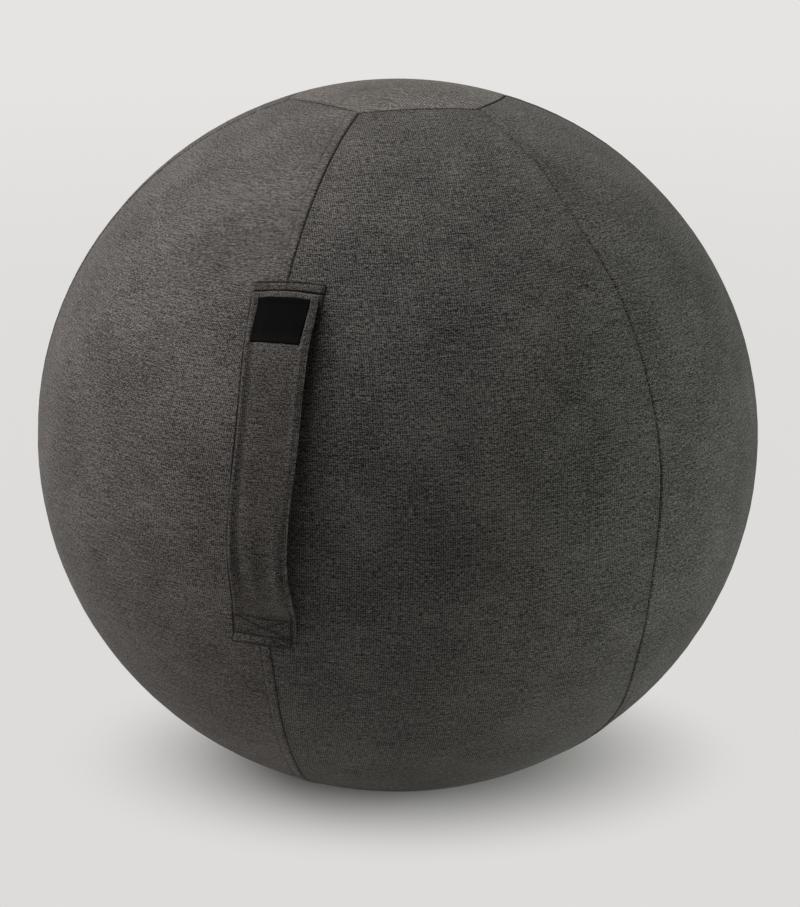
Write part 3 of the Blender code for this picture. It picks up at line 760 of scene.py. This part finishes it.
def strap_ring(turn, plump=1.0):
    """One closed ring of points round the strap, with their weave and painted shade. Plump closes a rounded
    end.
    """
    half = float(strap_half(turn)) - 1.5 * MM * (1 - plump)
    round_off = float(strap_thick(turn)) / 2
    face = np.concatenate([np.linspace(-half + SEAM_ROUND, -half + 3 * MM, 12),
                           np.linspace(-half + 3.6 * MM, half - round_off, FACE_COLUMNS - 12)])
    back = np.linspace(half - round_off, -half + SEAM_ROUND, BACK_COLUMNS)
    swing = np.linspace(math.pi / 2, -math.pi / 2, EDGE_COLUMNS + 2)[1:-1]
    across = np.concatenate([face, half - round_off + round_off * np.cos(swing), back,
                             -half + SEAM_ROUND - SEAM_ROUND * np.cos(swing)])
    height = np.concatenate([face_height(turn, face), round_off + round_off * np.sin(swing),
                             np.zeros(BACK_COLUMNS), round_off - round_off * np.sin(swing)])
    height = round_off * 0.8 + (height - round_off * 0.8) * plump
    weave = np.stack(np.broadcast_arrays(across * STRAP_GRAIN[0], turn * ball_radius * STRAP_GRAIN[1],
                                         STRAP_STRETCH), -1)
    # Painted shade in the stitched dents, and on the rounded lower end where it turns under.
    under_edge_shade = min(4.0 * (1 - plump), 1.0) if turn > STRAP_MIDDLE else 0.0
    painted_shade = np.concatenate([strap_dent(turn, face), np.zeros(len(across) - FACE_COLUMNS)])
    painted_shade = np.maximum(painted_shade, under_edge_shade)
    return strap_spot(turn, across, height), weave, painted_shade


def strap_object(name, turns, plumps):
    """Closed strap piece through rings at the given angles."""
    rings = [strap_ring(turn, plump) for turn, plump in zip(turns, plumps)]
    points, weave, painted_shade = (np.array(values) for values in zip(*rings))
    return grid_object(name, points, weave, painted_shade, ring=True, capped=True)


strap_cloth = melange_cloth("Melange woven polyester, handle", "#141211", "#837D78")
rounding = np.array([0.03, 0.25, 0.7, 1.4, 2.4]) * MM / ball_radius
round_plump = np.sqrt(1 - (1 - rounding / rounding[-1]) ** 2)
upper_turns = np.concatenate([STRAP_TOP + rounding, np.linspace(STRAP_TOP + 0.010, STRAP_MIDDLE, 64)])
upper_plump = np.concatenate([round_plump, np.ones(64)])
lower_turns = np.concatenate([np.linspace(STRAP_MIDDLE, BOX_TOP - 0.008, 60),
                              np.linspace(BOX_TOP - 0.006, STRAP_FOOT - 0.009, 30),
                              STRAP_FOOT - rounding[::-1]])
lower_plump = np.concatenate([np.ones(90), round_plump[::-1]])
upper_start = strap_spot(math.radians(53.9), 0.0, 0.0)
upper_end = strap_spot(math.radians(63), 0.0, 0.0)
lower_start = strap_spot(math.radians(98.9), 0.0, 0.0)
lower_end = strap_spot(math.radians(92), 0.0, 0.0)
upper_strap = strap_object("handle_upper_sleeve", upper_turns, upper_plump)
lower_strap = strap_object("handle_lower_sleeve", lower_turns, lower_plump)
for sleeve, nodes, start, end in (
        (upper_strap, ("handle_upper_leg", "handle_grip"), upper_start, upper_end),
        (lower_strap, ("handle_lower_leg", "handle_lower_end"), lower_start, lower_end)):
    sleeve.data.materials.append(strap_cloth)
    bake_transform(sleeve)
    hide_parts(*nodes)

# Handle hem: the strap's folded end, sewn flat on the cover just above the plump top of the strap.
# It is of the same cloth, arched and tilted with the strap's top, and holds two rows of stitching.
# Its stitch rows and ends are painted darker, as painted shade.
HEM_STRETCH = 7.0
HEM_COLUMNS = 25
HEM_SINK = 0.2 * MM
HEM_ASIDE = 2.2 * MM
STITCH_DENT = 2.0 * MM
FOLD_DENT = 0.7 * STITCH_DENT
hem_rounding = np.array([0.0, 0.12, 0.4, 0.9, 1.6]) * MM
hem_turns = np.concatenate([HEM_TOP + hem_rounding / ball_radius,
                            np.linspace(HEM_TOP + 0.007, math.radians(55.5), 40)])
hem_rounding[0] = 0.02 * MM
hem_plump = np.concatenate([np.sqrt(1 - (1 - hem_rounding / hem_rounding[-1]) ** 2), np.ones(40)])
hem_rows, hem_weave, hem_shade = [], [], []
for turn, plump in zip(hem_turns, hem_plump):
    half = HEM_HALF - 1.0 * MM * (1 - plump)
    face = np.linspace(-half + 0.8 * MM, half - 0.8 * MM, HEM_COLUMNS)
    from_stitch = (turn - HEM_STITCH) * ball_radius
    dent = hump(from_stitch, 0.0, DENT_WIDTH)
    fold = hump((turn - HEM_TOP) * ball_radius, HEM_EDGE, DENT_WIDTH)
    across = np.concatenate([face, [half, half], face[::-1], [-half, -half]])
    top = HEM_THICKNESS - max(STITCH_DENT * dent, FOLD_DENT * fold)
    height = np.concatenate([np.full(HEM_COLUMNS, top), [top * 0.75, 0.3 * MM],
                             np.full(HEM_COLUMNS, -HEM_SINK), [0.3 * MM, top * 0.75]])
    height = 0.6 * MM + (height - 0.6 * MM) * plump
    longitudes = (across + HEM_ASIDE) / (ball_radius * math.sin(turn))
    hem_rows.append(on_ball(turn + top_bend(turn, across) / ball_radius, longitudes, height))
    hem_weave.append(np.stack(np.broadcast_arrays(
        across * STRAP_GRAIN[0], turn * ball_radius * STRAP_GRAIN[1], HEM_STRETCH), -1))
    # Painted shade round the stitch row, in both stitched dents, and at the hem's ends.
    shade = 0.45 * hump(from_stitch, 0.0, 3 * MM)
    ends = 0.5 * smooth(np.abs(across), half - 5 * MM, half - 1 * MM)
    hem_shade.append(np.maximum(ends, max(dent, fold, shade)))
hem = grid_object("handle_hem", np.array(hem_rows), np.array(hem_weave), np.array(hem_shade),
                  ring=True, capped=True)
hem.data.materials.append(strap_cloth)
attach(hem, "ball")
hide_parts("handle_upper_end")

# Handle webbing: a flat woven band inside the sleeve that carries the load. It lies along the free part of
# the strap, between its sewn ends, and does not show.
WEBBING_THICKNESS = 1.2 * MM
WEBBING_HEIGHT = 1.4 * MM
webbing_band, tree, output = new_material("Woven polypropylene webbing")
give_surface(tree, output, {"Base Color": linear("#1C1B1A"), "Roughness": 0.7})
webbing_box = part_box("handle_webbing")
webbing_half = (webbing_box[1][0] - webbing_box[0][0]) / 2
turns = np.linspace(math.radians(63.2), math.radians(91.8), 24)[:, None]
across = np.linspace(-webbing_half, webbing_half, 5)
webbing = grid_object("handle_webbing_band", strap_spot(turns, across, WEBBING_HEIGHT))
thicken(webbing, WEBBING_THICKNESS)
webbing.data.materials.append(webbing_band)
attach(webbing, "handle")
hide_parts("handle_webbing")

# Handle stitching: a row down each edge of the strap, two across the hem, and the crossed box at the foot.
# It is the cover's own thread, and each row lies in the dent that it pulls in the cloth.
def strap_row(turns, across):
    """A row of stitching on the strap's outer face: its points and the outward direction at each."""
    height = face_height(turns, across)
    points = strap_spot(turns, across, height)
    return points, strap_spot(turns, across, height + 1.0) - points


edge_rows = {}
for name, first, last in (("upper", STRAP_TOP + 0.012, STRAP_MIDDLE),
                          ("lower", STRAP_MIDDLE, STRAP_FOOT - 0.012)):
    turns = np.linspace(first, last, 90)
    half = strap_half(turns)
    edge_rows[name] = [strap_row(turns, EDGE_SEAM - half), strap_row(turns, half - EDGE_STITCH)]
box_half = float(strap_half(BOX_TOP)) - BOX_INSET
shares = np.linspace(0, 1, 40)
for left_end, right_end in ((BOX_TOP, BOX_TOP), (BOX_FOOT, BOX_FOOT),
                            (BOX_TOP, BOX_FOOT), (BOX_FOOT, BOX_TOP)):
    turns = left_end + (right_end - left_end) * shares
    edge_rows["lower"].append(strap_row(turns, box_half * (2 * shares - 1)))
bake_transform(stitches("handle_upper_stitches", edge_rows["upper"]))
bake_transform(stitches("handle_lower_stitches", edge_rows["lower"]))
across = np.linspace(-27 * MM, 27 * MM, 30)
longitudes = (across + HEM_ASIDE) / (ball_radius * math.sin(HEM_STITCH))
hem_stitch_rows = []
for turn, depth in ((HEM_STITCH, STITCH_DENT), (HEM_TOP + HEM_EDGE / ball_radius, FOLD_DENT)):
    turns = turn + top_bend(turn, across) / ball_radius
    points = on_ball(turns, longitudes, HEM_THICKNESS - depth)
    hem_stitch_rows.append((points, on_ball(turns, longitudes, 1.0) - on_ball(turns, longitudes, 0.0)))
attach(stitches("handle_hem_stitches", hem_stitch_rows), "ball")

# Label: a small plain black tab, woven in satin, folded at its edges and sewn to the top of the strap.
# It tapers and leans a little, and its lower part is painted paler, as a painted highlight.
LABEL_TOP = math.radians(55.25)
LABEL_FOOT = math.radians(61.7)
LABEL_HALF = 21.0 * MM
LABEL_TAPER = 1.1 * MM
LABEL_SKEW = 1.8 * MM
LABEL_ASIDE = 1.3 * MM
LABEL_THICKNESS = 0.6 * MM
LABEL_RIB = 0.8 * MM
label_cloth, tree, output = new_material("Woven satin ribbon")
flat = add(tree, "ShaderNodeAttribute", {"attribute_name": "weave"}).outputs["Vector"]
rib = add(tree, "ShaderNodeTexWave", {"bands_direction": "Y"},
          {"Vector": flat, "Scale": 1 / LABEL_RIB / 3.0, "Distortion": 0.6}).outputs["Fac"]
bump = add(tree, "ShaderNodeBump", {}, {"Height": rib, "Strength": 0.25, "Distance": 0.1 * MM}).outputs[0]
height = add(tree, "ShaderNodeSeparateXYZ", {}, {0: flat}).outputs[1]
# Painted highlight: the colour grows paler towards the label's foot.
painted_highlight = add(tree, "ShaderNodeMapRange", {}, {"Value": height, "From Min": LABEL_FOOT * ball_radius - 9 * MM,
                                            "From Max": LABEL_FOOT * ball_radius - 4 * MM}).outputs["Result"]
painted_highlight = mix_colour(tree, painted_highlight, linear("#0E0C0C"), linear("#171412"))
give_surface(tree, output, {"Base Color": painted_highlight, "Normal": bump, "Roughness": 0.7, "Specular IOR Level": 0.03})
turns = np.linspace(LABEL_TOP, LABEL_FOOT, 30)[:, None]
down = (turns - LABEL_TOP) / (LABEL_FOOT - LABEL_TOP)
half = LABEL_HALF + LABEL_TAPER * (0.5 - down)
share = np.linspace(-1, 1, 30)[None, :]
across = share * half - LABEL_SKEW * down + LABEL_ASIDE
from_ends = np.minimum(turns - LABEL_TOP, LABEL_FOOT - turns) * ball_radius
from_edge = np.minimum(from_ends, half * (1 - np.abs(share)))
height = face_height(turns, across) + LABEL_THICKNESS * (0.25 + 0.75 * smooth(from_edge, 0.0, 1.2 * MM))
weave = np.stack(np.broadcast_arrays(across, turns * ball_radius, 0.0), -1)
label = grid_object("handle_label_tab", strap_spot(turns, across, height), weave)
thicken(label, LABEL_THICKNESS)
label.data.materials.append(label_cloth)
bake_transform(label)
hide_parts("handle_label")

# Camera: set where the photograph was taken, a little above the ball and to the right of its handle.
# The shift moves the picture by the few pixels that the ball stands off the middle of the frame.
IMAGE_HEIGHT = 907
BALL_LEFT_PIXELS = 2.2
BALL_UP_PIXELS = 18.8
VIEW_AZIMUTH = math.radians(19.37)
VIEW_ELEVATION = math.radians(17.06)
VIEW_DISTANCE = 5.76 * ball_radius
camera = bpy.data.objects.new("camera", bpy.data.cameras.new("camera"))
scene.collection.objects.link(camera)
scene.camera = camera
camera.data.lens = 81.1
camera.data.shift_x = BALL_LEFT_PIXELS / IMAGE_HEIGHT
camera.data.shift_y = -BALL_UP_PIXELS / IMAGE_HEIGHT
view_right = Vector((math.cos(VIEW_AZIMUTH), math.sin(VIEW_AZIMUTH), 0))
view_back = Vector((-math.sin(VIEW_AZIMUTH), math.cos(VIEW_AZIMUTH), 0))
view_from = -view_back * math.cos(VIEW_ELEVATION) + Vector((0, 0, math.sin(VIEW_ELEVATION)))
camera.location = centre + view_from * VIEW_DISTANCE
camera.rotation_euler = view_from.to_track_quat("Z", "Y").to_euler()

# Floor: a pale seamless studio sweep, painted matt. Near the ball it is plain paint that takes the shadow.
# Far from the ball it shows its own even paleness, a little lighter in the distance.
FLOOR_HALF = 40.0
FLOOR_PAINT = linear("#DEDCDA")
FLOOR_NEAR = linear("#DEDCDA")
FLOOR_FAR = linear("#E6E4E2")
SHADOW_ASIDE = 0.33
SHADOW_AHEAD = 0.22
FADE_START = 0.22
FADE_END = 1.05
PALE_START = 0.5
PALE_END = 5.5
floor_mesh = bpy.data.meshes.new("floor")
work = bmesh.new()
bmesh.ops.create_grid(work, x_segments=4, y_segments=4, size=FLOOR_HALF)
work.to_mesh(floor_mesh)
work.free()
floor = bpy.data.objects.new("floor", floor_mesh)
scene.collection.objects.link(floor)
floor_paint, tree, output = new_material("Matt studio paint")
where = add(tree, "ShaderNodeTexCoord").outputs["Object"]
shares = []
for view_way, shadow_size in ((view_right, SHADOW_ASIDE), (view_back, SHADOW_AHEAD)):
    place = add(tree, "ShaderNodeVectorMath", {"operation": "DOT_PRODUCT"}, {0: where, 1: view_way})
    shares.append(add(tree, "ShaderNodeMath", {"operation": "DIVIDE"},
                      {0: place.outputs["Value"], 1: shadow_size}).outputs[0])
spread = add(tree, "ShaderNodeCombineXYZ", {}, {"X": shares[0], "Y": shares[1]}).outputs[0]
reach = add(tree, "ShaderNodeVectorMath", {"operation": "LENGTH"}, {0: spread}).outputs["Value"]
fade = add(tree, "ShaderNodeMapRange", {"interpolation_type": "SMOOTHSTEP"},
           {"Value": reach, "From Min": FADE_START, "From Max": FADE_END}).outputs["Result"]
far = add(tree, "ShaderNodeVectorMath", {"operation": "LENGTH"}, {0: where}).outputs["Value"]
depth = add(tree, "ShaderNodeMapRange", {"interpolation_type": "SMOOTHSTEP"},
            {"Value": far, "From Min": PALE_START, "From Max": PALE_END}).outputs["Result"]
pale = mix_colour(tree, depth, FLOOR_NEAR, FLOOR_FAR)
rays = add(tree, "ShaderNodeLightPath").outputs
seen = add(tree, "ShaderNodeMath", {"operation": "ADD", "use_clamp": True},
           {0: rays["Is Camera Ray"], 1: rays["Is Glossy Ray"]}).outputs[0]
seen = add(tree, "ShaderNodeMath", {"operation": "ADD", "use_clamp": True},
           {0: seen, 1: rays["Is Transmission Ray"]}).outputs[0]
shown = add(tree, "ShaderNodeMath", {"operation": "MULTIPLY"}, {0: fade, 1: seen}).outputs[0]
paint = add(tree, "ShaderNodeBsdfDiffuse", {}, {"Color": FLOOR_PAINT}).outputs[0]
glow = add(tree, "ShaderNodeEmission", {}, {"Color": pale, "Strength": 1.0}).outputs[0]
mixed = add(tree, "ShaderNodeMixShader", {}, {0: shown, 1: paint, 2: glow}).outputs[0]
tree.links.new(mixed, output.inputs["Surface"])
floor_mesh.materials.append(floor_paint)
floor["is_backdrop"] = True

# Light: soft boxes above, at the left and behind the top, a lower one at the right, and a nearly dark room.
# The front of the ball is lit least, as in the photograph.
ROOM_STRENGTH = 0.02
SOFT_BOXES = (("top box", (-0.7, -0.5, 1.9), 0.9, 13.5, "#FFFFFF"),
              ("left box", (-1.5, -0.25, 1.35), 1.0, 18.0, "#FFFFFF"),
              ("back box", (-0.5, 0.9, 1.8), 1.0, 9.0, "#FFFFFF"),
              ("right box", (2.0, -0.35, 0.18), 0.8, 17.2, "#F4FFF7"))
scene.world = bpy.data.worlds.new("studio")
scene.world.use_nodes = True
tree = scene.world.node_tree
tree.nodes.clear()
rays = add(tree, "ShaderNodeLightPath").outputs
room = add(tree, "ShaderNodeBackground", {},
           {"Color": linear("#FFFFFF"), "Strength": ROOM_STRENGTH}).outputs[0]
backdrop = add(tree, "ShaderNodeBackground", {}, {"Color": FLOOR_FAR, "Strength": 1.0}).outputs[0]
mixed = add(tree, "ShaderNodeMixShader", {}, {0: rays["Is Camera Ray"], 1: room, 2: backdrop}).outputs[0]
add(tree, "ShaderNodeOutputWorld", {}, {"Surface": mixed})
for name, (right, back, up), size, power, tint in SOFT_BOXES:
    lamp = bpy.data.lights.new(name, "AREA")
    lamp.size = size
    lamp.energy = power
    lamp.color = linear(tint)[:3]
    stand = bpy.data.objects.new(name, lamp)
    stand.location = centre + view_right * right + view_back * back + Vector((0, 0, up))
    stand.rotation_euler = (stand.location - centre).to_track_quat("Z", "Y").to_euler()
    scene.collection.objects.link(stand)

size = {"cad": [list(corner) for corner in cad_box], "visual": [list(corner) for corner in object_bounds()]}
